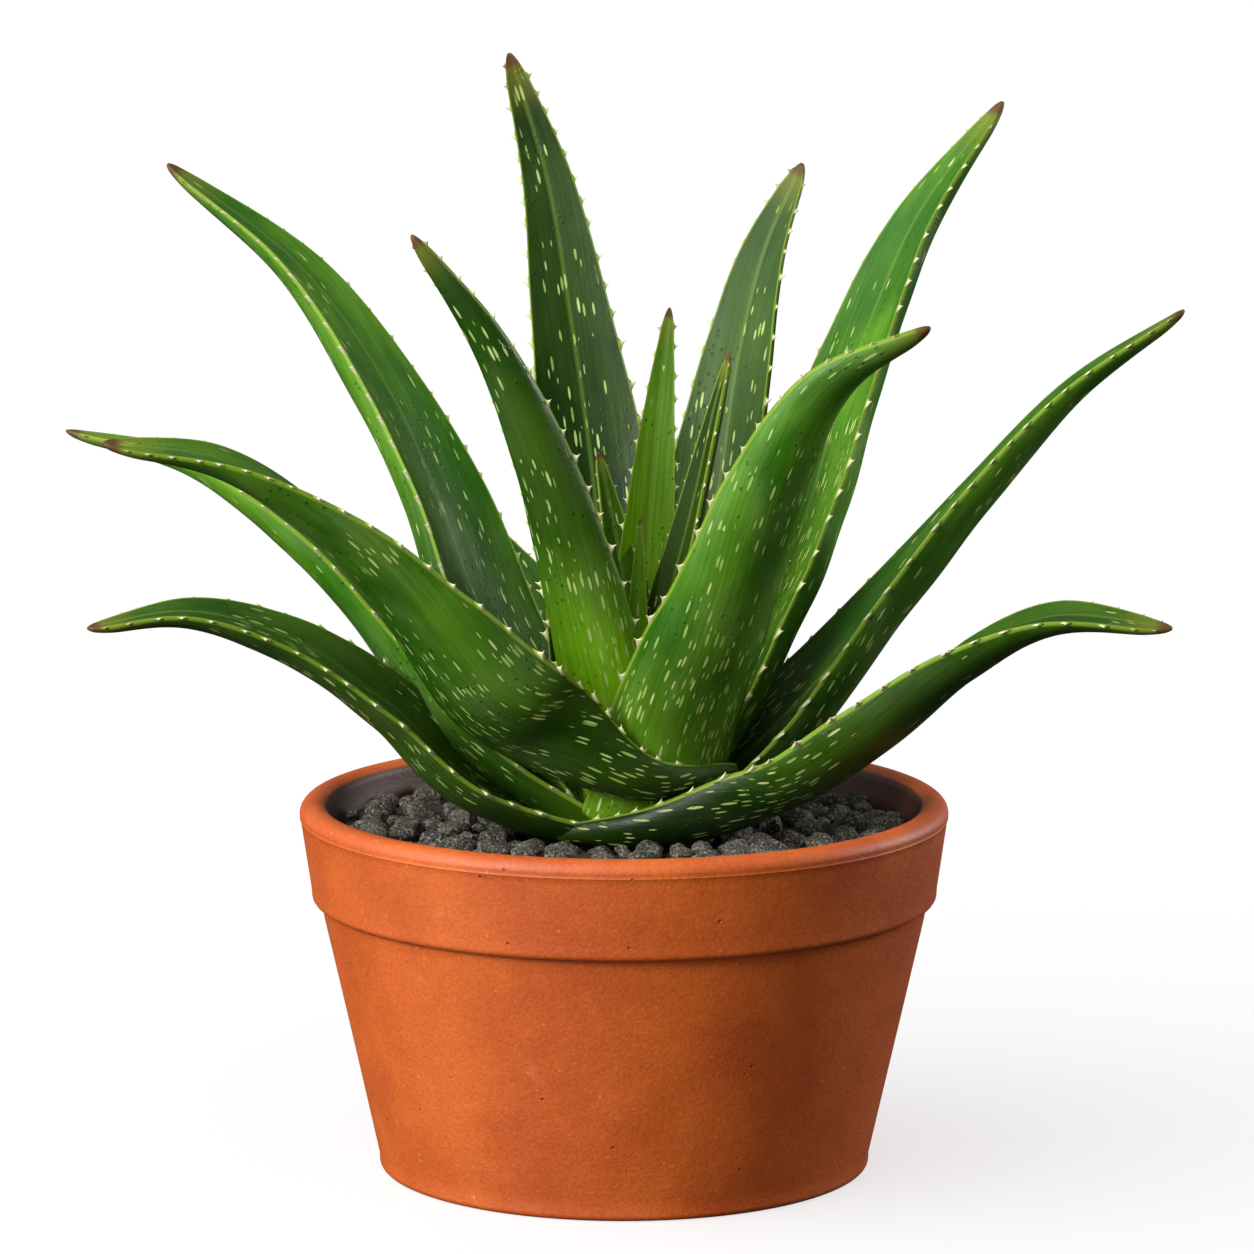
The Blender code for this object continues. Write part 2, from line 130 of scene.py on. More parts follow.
# Places in metres, power in watts.
KEY_LIGHT = dict(
    place=(-1.0, -1.0, 0.9), target=(0, 0, 0.18), size=0.6, power=19.0, colour=(1.0, 0.98, 0.95)
)
RIGHT_LIGHT = dict(place=(1.2, 0.5, 0.5), target=(0, 0, 0.12), size=0.5, power=9.0)
BRIGHT_SIDE = (-0.72, -0.42, 0.55)
BRIGHT_SIDE_STRENGTH = 2.3
BRIGHT_SIDE_FOCUS = 3.0
SKY_STRENGTHS = (0.03, 0.26)    # from below the horizon to the zenith
SKY_COLOUR = (1.0, 0.985, 0.965, 1)
BACKDROP = (0.98, 0.98, 0.98, 1)
FLOOR_COLOUR = (0.40, 0.41, 0.425)
FLOOR_GLOW = 0.69
FLOOR_HALF_SIDE = 40.0

CAMERA_PLACE = (0.0009, -1.9636, 0.4968)
CAMERA_TILT = 80.5
CAMERA_LENS = 186.3
CAMERA_SENSOR = 36.0

# path: the middle of the leaf from the crown to its tip, in mm.  facing: the direction in degrees
# that the leaf's back turns to, from +X.  roll: its twist in degrees along the path.  young: how
# yellow-green it is, and how far along the leaf that reaches.  flecks: how many pale flecks it has.
# tone: painted shade and painted light, a factor on its green at the base and towards the tip, lower where
# the leaf lies in shade and higher where it is lit.
Leaf = namedtuple(
    "Leaf",
    "name path facing width taper roll young flecks tone",
    defaults=(SLIM_TAPER, (0, 0), (0.25, 0.2), 0.5, (0.8, 1.0)),
)

LEAVES = (
    Leaf("leaf_heart_small", ((4, 0, 117), (4, 0, 164), (5, 0, 202)), 90, 10,
         young=(0.9, 1.6), flecks=0.1, tone=(0.4, 0.9)),
    Leaf("leaf_heart_left", ((6, 2, 116), (1, 6, 175), (-4, 9, 203), (-8, 10, 221)), 112, 18,
         young=(0.5, 1.2), flecks=0.15, tone=(0.3, 0.55)),
    Leaf("leaf_heart_right", ((5, 0, 116), (10, -4, 167), (18, -6, 199), (25, -7, 227), (32, -8, 254)),
         30, 20, young=(0.75, 1.3), flecks=0.3, tone=(0.15, 0.2)),
    Leaf("leaf_heart_tall", ((4, 4, 116), (7, 8, 187), (11, 12, 236), (14, 15, 265)), 90, 22,
         young=(0.75, 1.3), flecks=0.3, tone=(0.5, 1.0)),
    Leaf("leaf_back_tall",
         ((3, 8, 114), (-6, 26, 184), (-11, 40, 223), (-17, 51, 261), (-24, 60, 300), (-36, 66, 339)),
         95, 41, flecks=0.35, tone=(0.15, 0.38)),
    Leaf("leaf_back_right",
         ((6, 8, 114), (20, 22, 172), (27, 36, 205), (35, 50, 245), (44, 62, 279), (56, 71, 304)),
         60, 38, FULL_TAPER, flecks=0.4, tone=(0.3, 0.55)),
    Leaf("leaf_front_left",
         ((2, -4, 113), (-7, -14, 160), (-14, -24, 190), (-25, -34, 227), (-40, -42, 261), (-63, -48, 294)),
         255, 28, young=(0.9, 0.55), flecks=0.75, tone=(2.3, 0.65)),
    Leaf("leaf_left_high",
         ((0, 4, 111), (-34, 16, 159), (-54, 34, 206), (-73, 50, 238), (-100, 66, 272), (-144, 80, 303)),
         150, 44, FULL_TAPER, flecks=0.55, tone=(0.55, 1.5)),
    Leaf("leaf_right_high",
         ((6, 2, 111), (37, 16, 169), (55, 32, 206), (71, 47, 247), (90, 62, 287), (119, 76, 323)),
         35, 42, FULL_TAPER, flecks=0.55, tone=(0.6, 1.6)),
    Leaf("leaf_rear_left", ((0, 8, 109), (-16, 46, 138), (-32, 84, 168), (-50, 124, 186)), 113, 36),
    Leaf("leaf_rear_right", ((8, 6, 109), (24, 42, 140), (40, 80, 174), (60, 116, 192)), 64, 34),
    Leaf("leaf_front_right",
         ((6, -8, 112), (20, -24, 161), (32, -38, 191), (43, -50, 222), (62, -60, 253), (90, -68, 269)),
         -65, 43, young=(0.45, 0.35), flecks=0.7, tone=(0.95, 1.5)),
    Leaf("leaf_right_middle",
         ((6, 0, 109), (46, 4, 143), (76, 8, 177), (105, 12, 210), (136, 15, 241), (172, 18, 264)),
         -8, 42, SLIM_TAPER, (24, 20, 10, 4, 2, 2), flecks=0.35, tone=(0.4, 1.1)),
    Leaf("leaf_left_middle_rear",
         ((2, 0, 109), (-37, 0, 133), (-67, 2, 165), (-99, 4, 199), (-133, 6, 220), (-171, 8, 228)),
         185, 36, SLIM_TAPER, (-6, -6), flecks=0.4, tone=(0.7, 1.9)),
    Leaf("leaf_left_middle_front",
         ((34, -17, 127), (8, -31, 127), (-26, -31, 148), (-56, -44, 183), (-84, -60, 212), (-116, -74, 231),
          (-152, -86, 237)),
         226, 48, SLIM_CLASP, (80, 42, 8, -4, -10, -21, -28), flecks=0.6, tone=(0.28, 1.3)),
    Leaf("leaf_right_low",
         ((-20, -22, 108), (10, -29, 112), (43, -27, 126), (73, -40, 149), (99, -53, 171), (126, -64, 183),
          (162, -73, 180)),
         -25, 36, FULL_CLASP, (-80, -46, -12, -6, 4, 14, 18), flecks=0.6, tone=(0.15, 0.75)),
    Leaf("leaf_left_low",
         ((4, -2, 106), (-42, -17, 126), (-70, -31, 153), (-101, -44, 174), (-130, -56, 183),
          (-159, -67, 179)),
         182, 35, FULL_TAPER, (0, -6, -12, -14, -14, -14), flecks=0.5, tone=(0.2, 0.85)),
)


# ---------------------------------------------------------------- Node-tree helper

class Graph:
    """Builds a material's node tree with short calls; every call returns an output socket."""

    def __init__(self, name):
        self.material = bpy.data.materials.new(name)
        self.material.use_nodes = True
        self.tree = self.material.node_tree
        self.shader = self.tree.nodes["Principled BSDF"]

    def node(self, kind, inputs=(), output=0, **settings):
        made = self.tree.nodes.new(kind)
        for key, value in settings.items():
            setattr(made, key, value)
        for key, value in dict(inputs).items():
            self.feed(made.inputs[key], value)
        return made.outputs[output]

    def feed(self, socket, value):
        if isinstance(value, bpy.types.NodeSocket):
            self.tree.links.new(value, socket)
        elif socket.type == "RGBA" and len(value) == 3:
            socket.default_value = (*value, 1.0)
        else:
            socket.default_value = value

    def math(self, operation, first, second=0.0):
        return self.node("ShaderNodeMath", {0: first, 1: second}, operation=operation)

    def times(self, first, second):
        return self.math("MULTIPLY", first, second)

    def plus(self, first, second):
        return self.math("ADD", first, second)

    def rise(self, value, low, high, start=0.0, end=1.0):
        """A soft step from start to end while value goes from low to high."""
        inputs = {"Value": value, "From Min": low, "From Max": high, "To Min": start, "To Max": end}
        return self.node("ShaderNodeMapRange", inputs, interpolation_type="SMOOTHSTEP")

    def mix(self, share, first, second):
        """The first colour with a share of the second; 0, 6, 7 and 2 are the colour sockets' places."""
        return self.node("ShaderNodeMix", {0: share, 6: first, 7: second}, 2, data_type="RGBA")

    def shade(self, colour, amount):
        """The colour made lighter or darker by a factor."""
        grey = self.vector(amount, amount, amount)
        return self.node("ShaderNodeVectorMath", {0: colour, 1: grey}, operation="MULTIPLY")

    def vector(self, x, y, z=0.0):
        return self.node("ShaderNodeCombineXYZ", {0: x, 1: y, 2: z})

    def noise(self, where, scale, detail=2.0, roughness=0.5):
        inputs = {"Vector": where, "Scale": scale, "Detail": detail, "Roughness": roughness}
        return self.node("ShaderNodeTexNoise", inputs)

    def cells(self, where, scale, randomness=1.0, output=0, dimensions="3D"):
        inputs = {"Vector": where, "Scale": scale, "Randomness": randomness}
        return self.node("ShaderNodeTexVoronoi", inputs, output, voronoi_dimensions=dimensions)

    def split(self, vector):
        made = self.tree.nodes.new("ShaderNodeSeparateXYZ")
        self.feed(made.inputs[0], vector)
        return made.outputs

    def attribute(self, name):
        return self.node("ShaderNodeAttribute", output=1, attribute_name=name)

    def bump(self, height, strength, distance, normal=None):
        inputs = {"Height": height, "Strength": strength, "Distance": distance}
        if normal is not None:
            inputs["Normal"] = normal
        return self.node("ShaderNodeBump", inputs)

    def finish(self, colour, roughness, normal=None, specular=0.5):
        self.shader.inputs["Specular IOR Level"].default_value = specular
        self.feed(self.shader.inputs["Base Color"], colour)
        self.feed(self.shader.inputs["Roughness"], roughness)
        if normal is not None:
            self.feed(self.shader.inputs["Normal"], normal)
        return self.material


# ---------------------------------------------------------------- Materials

LEAF_DARK = (0.016, 0.080, 0.002)
LEAF_LIGHT = (0.064, 0.172, 0.008)
LEAF_BLOOM = (0.115, 0.190, 0.060)
LEAF_FRESH = (0.180, 0.400, 0.004)
LEAF_CREASE_COLOUR = (0.180, 0.300, 0.050)
LEAF_PIT = (0.010, 0.040, 0.003)
LEAF_RIM = (0.260, 0.400, 0.030)
LEAF_WANING = (0.200, 0.220, 0.025)
LEAF_DRY = (0.110, 0.045, 0.015)
FLECK_DULL = (0.260, 0.420, 0.070)
FLECK_BRIGHT = (0.560, 0.680, 0.240)
TOOTH_PALE = (0.800, 0.790, 0.480)
TOOTH_BURNT = (0.080, 0.030, 0.012)
CLAY_DARK = (0.500, 0.078, 0.005)
CLAY_LIGHT = (0.630, 0.120, 0.010)
CLAY_SPECK = (0.800, 0.360, 0.140)
CLAY_PIT = (0.170, 0.034, 0.008)
CLAY_SCUFF = (0.780, 0.330, 0.130)
INSIDE_PAINTED_SHADE = 0.12                # how light the clay inside the pot is painted, beside the clay outside: painted shade on the inner wall and the lip's inner edge
ROCK_DARK = (0.014, 0.012, 0.009)
ROCK_LIGHT = (0.062, 0.054, 0.040)
ROCK_PALE = (0.150, 0.140, 0.115)
ROCK_GRAIN = (0.360, 0.335, 0.270)
ROCK_PORE = (0.006, 0.005, 0.004)
EARTH_DARK = (0.016, 0.011, 0.008)
EARTH_LIGHT = (0.060, 0.042, 0.028)
STEM_DARK = (0.150, 0.210, 0.050)
STEM_LIGHT = (0.300, 0.360, 0.110)


def leaf_green(g, across, along, share, back, young, reach, seed):
    """The green of the skin and the share of it that a pale bloom covers."""
    patches = g.noise(g.vector(across, g.times(along, 0.45), seed), 42.0, 3.0, 0.55)
    green = g.mix(g.rise(patches, 0.32, 0.68), LEAF_DARK, LEAF_LIGHT)
    bloom = g.noise(g.vector(across, g.times(along, 0.3), seed), 95.0, 4.0)
    bloom = g.times(g.rise(bloom, 0.40, 0.75), 0.34)
    green = g.mix(g.times(bloom, g.rise(back, 0.0, 1.0, 0.15, 1.0)), green, LEAF_BLOOM)
    fresh = g.times(young, g.rise(g.math("DIVIDE", share, reach), 0.10, 1.0, 1.0, 0.0))
    return g.mix(fresh, green, LEAF_FRESH), patches, bloom


def leaf_flecks(g, across, along, margin, share, flecks, seed):
    """Pale flecks: stretched cells, each with its own length and presence."""
    where = g.vector(g.plus(g.times(across, 700.0), g.times(seed, 3.7)), g.plus(g.times(along, 118.0), seed))
    distance = g.cells(where, 1.0, 0.9, dimensions="2D")
    chance = g.split(g.cells(where, 1.0, 0.9, output=1, dimensions="2D"))
    crowd = g.noise(g.vector(across, g.times(along, 0.5), g.plus(seed, 9.0)), 55.0, 1.0)
    wanted = g.times(flecks, g.rise(share, 0.05, 0.95, 0.90, 0.25))
    wanted = g.plus(wanted, g.rise(crowd, 0.35, 0.65, -0.34, 0.26))
    present = g.math("LESS_THAN", chance[0], wanted)
    size = g.rise(chance[1], 0.0, 1.0, 0.11, 0.31)
    fleck = g.times(present, g.rise(g.math("SUBTRACT", size, distance), -0.03, 0.05))
    fleck = g.times(fleck, g.rise(margin, 0.0010, 0.0026))
    return fleck, g.mix(chance[2], FLECK_DULL, FLECK_BRIGHT)


def leaf_pits(g, across, along, seed):
    """Small dark pits, in loose groups."""
    pit = g.rise(g.cells(g.vector(g.times(across, 420.0), g.times(along, 330.0), seed), 1.0), 0.26, 0.12)
    groups = g.noise(g.vector(across, along, g.plus(seed, 4.0)), 60.0, 2.0)
    return g.times(pit, g.rise(groups, 0.50, 0.60))


def leaf_ends(g, green, share, tooth, lines):
    """The tip yellows and then dries, and the last teeth are burnt brown."""
    waning = g.rise(share, 0.90, 0.985)
    green = g.mix(g.times(waning, 0.55), green, LEAF_WANING)
    dry = g.rise(g.plus(share, g.times(g.math("SUBTRACT", lines, 0.5), 0.02)), 0.972, 0.988)
    green = g.mix(g.times(dry, 0.92), green, LEAF_DRY)
    burnt = g.times(g.rise(share, 0.88, 0.95), g.rise(tooth, 0.3, 0.8))
    return g.mix(g.times(burnt, 0.85), green, TOOTH_BURNT)


def leaf_material():
    """Waxy green skin.  Attributes: leaf_place = across, along and distance from the margin in metres;
    leaf_kind = share of the length, upper face, tooth; leaf_look = youth, its reach, flecks;
    leaf_seed = a number of its own, and the painted shade and painted light at the base and towards the tip."""
    g = Graph("leaf_skin")
    across, along, margin = g.split(g.attribute("leaf_place"))
    share, upper, tooth = g.split(g.attribute("leaf_kind"))
    young, reach, flecks = g.split(g.attribute("leaf_look"))
    seed, painted_shading_base, painted_shading_tip = g.split(g.attribute("leaf_seed"))
    back = g.math("SUBTRACT", 1.0, upper)

    green, patches, bloom = leaf_green(g, across, along, share, back, young, reach, seed)
    # Painted shade and painted light: the green is scaled from the leaf's base factor to its tip factor,
    # darker where the leaf lies in shade and lighter where it is lit.
    green = g.shade(green, g.rise(share, 0.08, 0.55, painted_shading_base, painted_shading_tip))
    lines = g.noise(g.vector(g.times(across, 1100.0), g.times(along, 11.0), seed), 1.0, 3.0, 0.6)
    fibres = g.noise(g.vector(g.times(across, 3200.0), g.times(along, 60.0), seed), 1.0, 2.0, 0.6)
    streaks = g.plus(g.times(lines, 0.6), g.times(fibres, 0.4))
    green = g.shade(green, g.rise(streaks, 0.3, 0.7, 0.80, 1.22))
    crease = g.times(upper, g.rise(g.math("ABSOLUTE", across), 0.0002, 0.0011, 0.35, 0.0))
    green = g.mix(crease, green, LEAF_CREASE_COLOUR)

    fleck, fleck_colour = leaf_flecks(g, across, along, margin, share, flecks, seed)
    green = g.mix(g.times(fleck, 0.9), green, fleck_colour)
    pit = leaf_pits(g, across, along, seed)
    green = g.mix(g.times(pit, 0.6), green, LEAF_PIT)

    rim = g.rise(margin, 0.0001, 0.0007, 1.0, 0.0)
    green = g.mix(g.times(rim, 0.7), green, LEAF_RIM)
    green = g.mix(g.rise(tooth, 0.03, 0.55), green, TOOTH_PALE)
    green = leaf_ends(g, green, share, tooth, lines)

    height = g.plus(g.plus(g.times(lines, 0.5), g.times(fibres, 0.25)), g.times(fleck, 0.3))
    height = g.math("SUBTRACT", height, g.times(pit, 0.9))
    swell = g.noise(g.vector(across, g.times(along, 0.5), seed), 120.0, 3.0)
    normal = g.bump(height, 0.5, 0.00035, g.bump(swell, 0.35, 0.0012))
    roughness = g.plus(g.rise(patches, 0.3, 0.7, 0.33, 0.45), g.times(bloom, 0.35))
    return g.finish(green, roughness, normal, specular=0.24)


def terracotta_material():
    """Unglazed orange clay with mottling, light specks and tiny pits, and painted shade that darkens the
    inner wall and the lip's inner edge.
    """
    g = Graph("terracotta")
    place = g.node("ShaderNodeTexCoord", output=3)
    clouds = g.noise(place, 26.0, 4.0, 0.6)
    clay = g.mix(g.rise(clouds, 0.3, 0.7), CLAY_DARK, CLAY_LIGHT)
    grain = g.noise(place, 900.0, 3.0, 0.7)
    clay = g.shade(clay, g.rise(grain, 0.3, 0.7, 0.88, 1.11))
    speck_cells = g.cells(place, 420.0)
    speck_chance = g.split(g.cells(place, 420.0, output=1))[0]
    speck = g.times(g.rise(speck_cells, 0.24, 0.12), g.math("GREATER_THAN", speck_chance, 0.95))
    clay = g.mix(g.times(speck, 0.40), clay, CLAY_SPECK)
    pit_cells = g.cells(place, 300.0)
    pit_chance = g.split(g.cells(place, 300.0, output=1))[1]
    pit = g.times(g.rise(pit_cells, 0.20, 0.10), g.math("GREATER_THAN", pit_chance, 0.975))
    clay = g.mix(g.times(pit, 0.7), clay, CLAY_PIT)
    scuffs = g.rise(g.noise(place, 70.0, 5.0, 0.7), 0.58, 0.74)
    clay = g.mix(g.times(scuffs, 0.16), clay, CLAY_SCUFF)
    x, y, z = g.split(place)
    # Painted shade: the clay of the inner wall and of the lip's inner edge is made darker.
    radius = g.node("ShaderNodeVectorMath", {0: g.vector(x, y)}, 1, operation="LENGTH")
    inside = g.rise(radius, LIP_INNER_RADIUS + 0.3 * MM, LIP_INNER_RADIUS + 1.6 * MM, 1.0, 0.0)
    inside = g.times(inside, g.rise(z, RIM_BOTTOM_Z, RIM_BOTTOM_Z + 4 * MM))
    clay = g.shade(clay, g.rise(inside, 0.0, 1.0, 1.0, INSIDE_PAINTED_SHADE))
    height = g.math("SUBTRACT", g.times(grain, 0.5), pit)
    waves = g.noise(place, 75.0, 3.0)
    normal = g.bump(height, 0.7, 0.00050, g.bump(waves, 0.25, 0.0012))
    return g.finish(clay, g.rise(grain, 0.2, 0.8, 0.46, 0.64), normal, specular=0.65)


def gravel_material():
    """Porous dark lava stone.  The attribute stone_tone makes each stone a little different."""
    g = Graph("lava_gravel")
    place = g.node("ShaderNodeTexCoord", output=3)
    tone = g.split(g.attribute("stone_tone"))[0]
    clouds = g.noise(place, 240.0, 3.0, 0.6)
    rock = g.mix(g.rise(clouds, 0.3, 0.7), ROCK_DARK, ROCK_LIGHT)
    rock = g.mix(tone, rock, ROCK_PALE)
    grain = g.noise(place, 1150.0, 3.0, 0.75)
    rock = g.mix(g.rise(grain, 0.50, 0.61, 0.0, 0.85), rock, ROCK_GRAIN)
    pores = g.rise(g.cells(place, 850.0), 0.34, 0.16)
    pores = g.times(pores, g.rise(g.noise(place, 420.0, 2.0), 0.40, 0.56))
    rock = g.mix(g.times(pores, 0.9), rock, ROCK_PORE)
    height = g.math("SUBTRACT", grain, pores)
    normal = g.bump(height, 1.0, 0.0009, g.bump(clouds, 0.6, 0.0016))
    return g.finish(rock, g.rise(grain, 0.3, 0.7, 0.75, 0.92), normal)


def soil_material():
    g = Graph("damp_soil")
    place = g.node("ShaderNodeTexCoord", output=3)
    crumbs = g.noise(place, 420.0, 4.0, 0.7)
    earth = g.mix(g.rise(crumbs, 0.3, 0.7), EARTH_DARK, EARTH_LIGHT)
    return g.finish(earth, 0.95, g.bump(crumbs, 0.9, 0.0012))


def stem_material():
    g = Graph("stem_skin")
    place = g.node("ShaderNodeTexCoord", output=3)
    patches = g.noise(place, 160.0, 3.0, 0.6)
    skin = g.mix(g.rise(patches, 0.3, 0.7), STEM_DARK, STEM_LIGHT)
    return g.finish(skin, 0.55, g.bump(patches, 0.4, 0.0006))


# ---------------------------------------------------------------- Mesh helpers

def put_in_scene(name, points, faces, material, smooth=True):
    mesh = bpy.data.meshes.new(name)
    mesh.from_pydata(np.asarray(points).tolist(), [], faces)
    mesh.materials.append(material)
    if smooth:
        mesh.shade_smooth()
    made = bpy.data.objects.new(name, mesh)
    bpy.context.scene.collection.objects.link(made)
    return made


def write_attribute(mesh, name, values):
    """Store three numbers for each point."""
    values = np.asarray(values, np.float32)
    held = mesh.attributes.new(name, "FLOAT_VECTOR", "POINT")
    held.data.foreach_set("vector", values.ravel())


def tube_faces(rings, count, first=0, caps=True):
    """Faces between equal rings of points that follow each other in one list."""
    faces = []
    for ring in range(rings - 1):
        start = first + ring * count
        for step in range(count):
            beside = (step + 1) % count
            faces.append((start + step, start + beside, start + beside + count, start + step + count))
    if caps:
        last = first + (rings - 1) * count
        faces.append(tuple(range(first + count - 1, first - 1, -1)))
        faces.append(tuple(range(last, last + count)))
    return faces


def between(part, start, start_slope, end, end_slope):
    """A smooth value part of the way from start to end, with the given slopes there."""
    return (
        (2 * part**3 - 3 * part**2 + 1) * start
        + (part**3 - 2 * part**2 + part) * start_slope
        + (3 * part**2 - 2 * part**3) * end
        + (part**3 - part**2) * end_slope
    )


def along(keys, place):
    """A smooth value at each place from 0 to 1, through evenly spaced keys."""
    keys = np.asarray(keys, float)
    spans = len(keys) - 1
    position = np.clip(place * spans, 0, spans - 1e-9)
    first = position.astype(int)
    part = position - first
    slope = np.gradient(keys)
    return between(part, keys[first], slope[first], keys[first + 1], slope[first + 1])


def smooth_path(points, step):
    """Evenly spaced points on a smooth curve through the given ones, and the curve's length."""
    points = np.asarray(points, float)
    marks = np.r_[0, np.cumsum(np.linalg.norm(np.diff(points, axis=0), axis=1))]
    slope = np.gradient(points, marks, axis=0)
    fine = np.linspace(0, marks[-1], 60 * len(points))
    first = np.clip(np.searchsorted(marks, fine, side="right") - 1, 0, len(marks) - 2)
    span = (marks[first + 1] - marks[first])[:, None]
    part = ((fine - marks[first]) / span[:, 0])[:, None]
    curve = between(part, points[first], span * slope[first], points[first + 1], span * slope[first + 1])
    walked = np.r_[0, np.cumsum(np.linalg.norm(np.diff(curve, axis=0), axis=1))]
    wanted = np.linspace(0, walked[-1], int(walked[-1] / step) + 1)
    evenly = np.stack([np.interp(wanted, walked, curve[:, axis]) for axis in range(3)], axis=1)
    return evenly, walked[-1]


def waves(place, rng, frequency, count=5):
    """Smooth noise between about -1 and 1 along one or more coordinates."""
    place = np.asarray(place, float).reshape(len(place), -1)
    total = np.zeros(len(place))
    for _ in range(count):
        way = rng.normal(size=place.shape[1])
        way *= frequency * rng.uniform(0.6, 1.4) / np.linalg.norm(way)
        total += np.sin(place @ way + rng.uniform(0, math.tau))
    return total / math.sqrt(count)


# ---------------------------------------------------------------- Leaves

def rounded_tip(place):
    """How much of its width the leaf keeps where its tip rounds off."""
    beyond = np.clip((place - 1 + TIP_SHARE) / TIP_SHARE, 0, 1)
    return np.sqrt(1 - 0.95 * beyond**2)


def leaf_frames(leaf, rng):
    """Middle points, directions ahead, to the side and up, and the widths along the leaf."""
    middle, length = smooth_path(np.array(leaf.path) * MM, LEAF_RING_STEP)
    place = np.linspace(0, 1, len(middle))
    ahead = np.gradient(middle, axis=0)
    for _ in range(LEAF_SMOOTHINGS):
        ahead[1:-1] = (ahead[:-2] + 2 * ahead[1:-1] + ahead[2:]) / 4
    ahead /= np.linalg.norm(ahead, axis=1)[:, None]
    turn = math.radians(leaf.facing)
    side = np.tile([-math.sin(turn), math.cos(turn), 0.0], (len(middle), 1))
    side -= ahead * (side * ahead).sum(axis=1)[:, None]
    side /= np.linalg.norm(side, axis=1)[:, None]
    upward = np.cross(ahead, side)
    wobble = LEAF_WOBBLE * waves(place, rng, 9.0)
    roll = np.radians(along(leaf.roll, place) + wobble * place)[:, None]
    rolled_side = side * np.cos(roll) + upward * np.sin(roll)
    rolled_up = upward * np.cos(roll) - side * np.sin(roll)
    widths = leaf.width * MM * along(leaf.taper, place) * (1 + 0.012 * waves(place, rng, 40.0))
    widths *= rounded_tip(place)
    return place, length, middle, ahead, rolled_side, rolled_up, widths


def walked_along(x, y):
    return np.r_[0, np.cumsum(np.hypot(np.diff(x), np.diff(y)))]


def across_skin(x, y):
    """Distance along a face of the leaf from its midline, positive towards +x."""
    walked = walked_along(x, y)
    return (walked - walked[-1] / 2) * math.copysign(1, x[-1] - x[0])


def from_margin(x, y):
    """Distance along a face of the leaf from the nearer margin."""
    walked = walked_along(x, y)
    return np.minimum(walked, walked[-1] - walked)


def leaf_body(rng, frames):
    """The blade: points, faces and, for each point, its place and kind."""
    place, length, middle, _, side, upward, widths = frames
    turns = np.linspace(0, math.pi, LEAF_LOWER_POINTS)
    steps = -np.cos(np.linspace(0, math.pi, LEAF_UPPER_POINTS))
    count = LEAF_LOWER_POINTS + LEAF_UPPER_POINTS
    hollow_wave = 1 + 0.25 * waves(place, rng, 14.0)
    keel_wave = 1 + 0.05 * waves(place, rng, 18.0)
    upper = np.r_[np.zeros(LEAF_LOWER_POINTS), np.ones(LEAF_UPPER_POINTS)]
    crease_depth, crease_width = LEAF_CREASE
    crease = crease_depth * np.exp(-((steps / crease_width) ** 2))
    points, places, kinds = [], [], []
    for ring, share in enumerate(place):
        width = max(widths[ring], LEAF_LEAST_WIDTH)
        edge = min(LEAF_EDGE, LEAF_EDGE_SHARE * width)
        hollow = LEAF_HOLLOW * (1 - LEAF_HOLLOW_FADE * share) * hollow_wave[ring]
        low_x = width / 2 * np.cos(turns)
        low_y = -edge / 2 - LEAF_THICKNESS * keel_wave[ring] * width * np.sin(turns) ** LEAF_BACK_SHARPNESS
        top_x = width / 2 * steps
        top_y = edge / 2 - (hollow * (1 - steps**2) + crease) * width
        x = np.r_[low_x, top_x]
        y = np.r_[low_y, top_y]
        points.append(middle[ring] + side[ring] * x[:, None] + upward[ring] * y[:, None])
        across = np.r_[across_skin(low_x, low_y), across_skin(top_x, top_y)]
        margin = np.r_[from_margin(low_x, low_y), from_margin(top_x, top_y)]
        places.append(np.stack([across, np.full(count, share * length), margin], axis=1))
        kinds.append(np.stack([np.full(count, share), upper, np.zeros(count)], axis=1))
    faces = tube_faces(len(place), count)
    return np.concatenate(points), faces, np.concatenate(places), np.concatenate(kinds)


def tooth(centre, outward, ahead, thick, size, share, first):
    """A hooked thorn with a broad base, as points, faces, places and kinds."""
    points, kinds = [], []
    for level in TOOTH_LEVELS:
        reach = size * (TOOTH_FOOT[0] * (1 - level) ** 2.3 + TOOTH_POINT[0])
        depth = size * (TOOTH_FOOT[1] * (1 - level) ** 0.8 + TOOTH_POINT[1])
        middle = centre + outward * size * (level - TOOTH_ROOT) + ahead * size * TOOTH_HOOK * level**1.2
        for step in range(TOOTH_POINTS):
            turn = math.tau * step / TOOTH_POINTS
            points.append(middle + ahead * reach * math.cos(turn) + thick * depth * math.sin(turn))
            kinds.append((share, 0.5, max(level, 0.02)))
    faces = tube_faces(len(TOOTH_LEVELS), TOOTH_POINTS, first)
    return points, faces, [(0.0, 0.0, 0.0)] * len(points), kinds


def leaf_teeth(rng, frames, first):
    """The thorns along both margins."""
    place, length, middle, ahead, side, upward, widths = frames
    points, faces, places, kinds = [], [], [], []
    widest = widths.max()
    for margin in (-1, 1):
        walked = rng.uniform(*TOOTH_FIRST)
        while walked < length * TOOTH_LAST:
            ring = int(walked / length * (len(place) - 1))
            share = place[ring]
            grown = widths[ring] / widest
            size = TOOTH_HEIGHT * (0.42 + 0.58 * grown) * rng.uniform(0.8, 1.15)
            size *= min(1, widest / TOOTH_FULL_WIDTH)
            outward = side[ring] * margin + upward[ring] * 0.15
            outward /= np.linalg.norm(outward)
            centre = middle[ring] + side[ring] * margin * widths[ring] / 2
            more = tooth(centre, outward, ahead[ring], upward[ring], size, share, first + len(points))
            points += more[0]
            faces += more[1]
            places += more[2]
            kinds += more[3]
            walked += TOOTH_SPACING * (0.45 + 0.55 * grown) * rng.uniform(0.75, 1.25)
    return points, faces, places, kinds


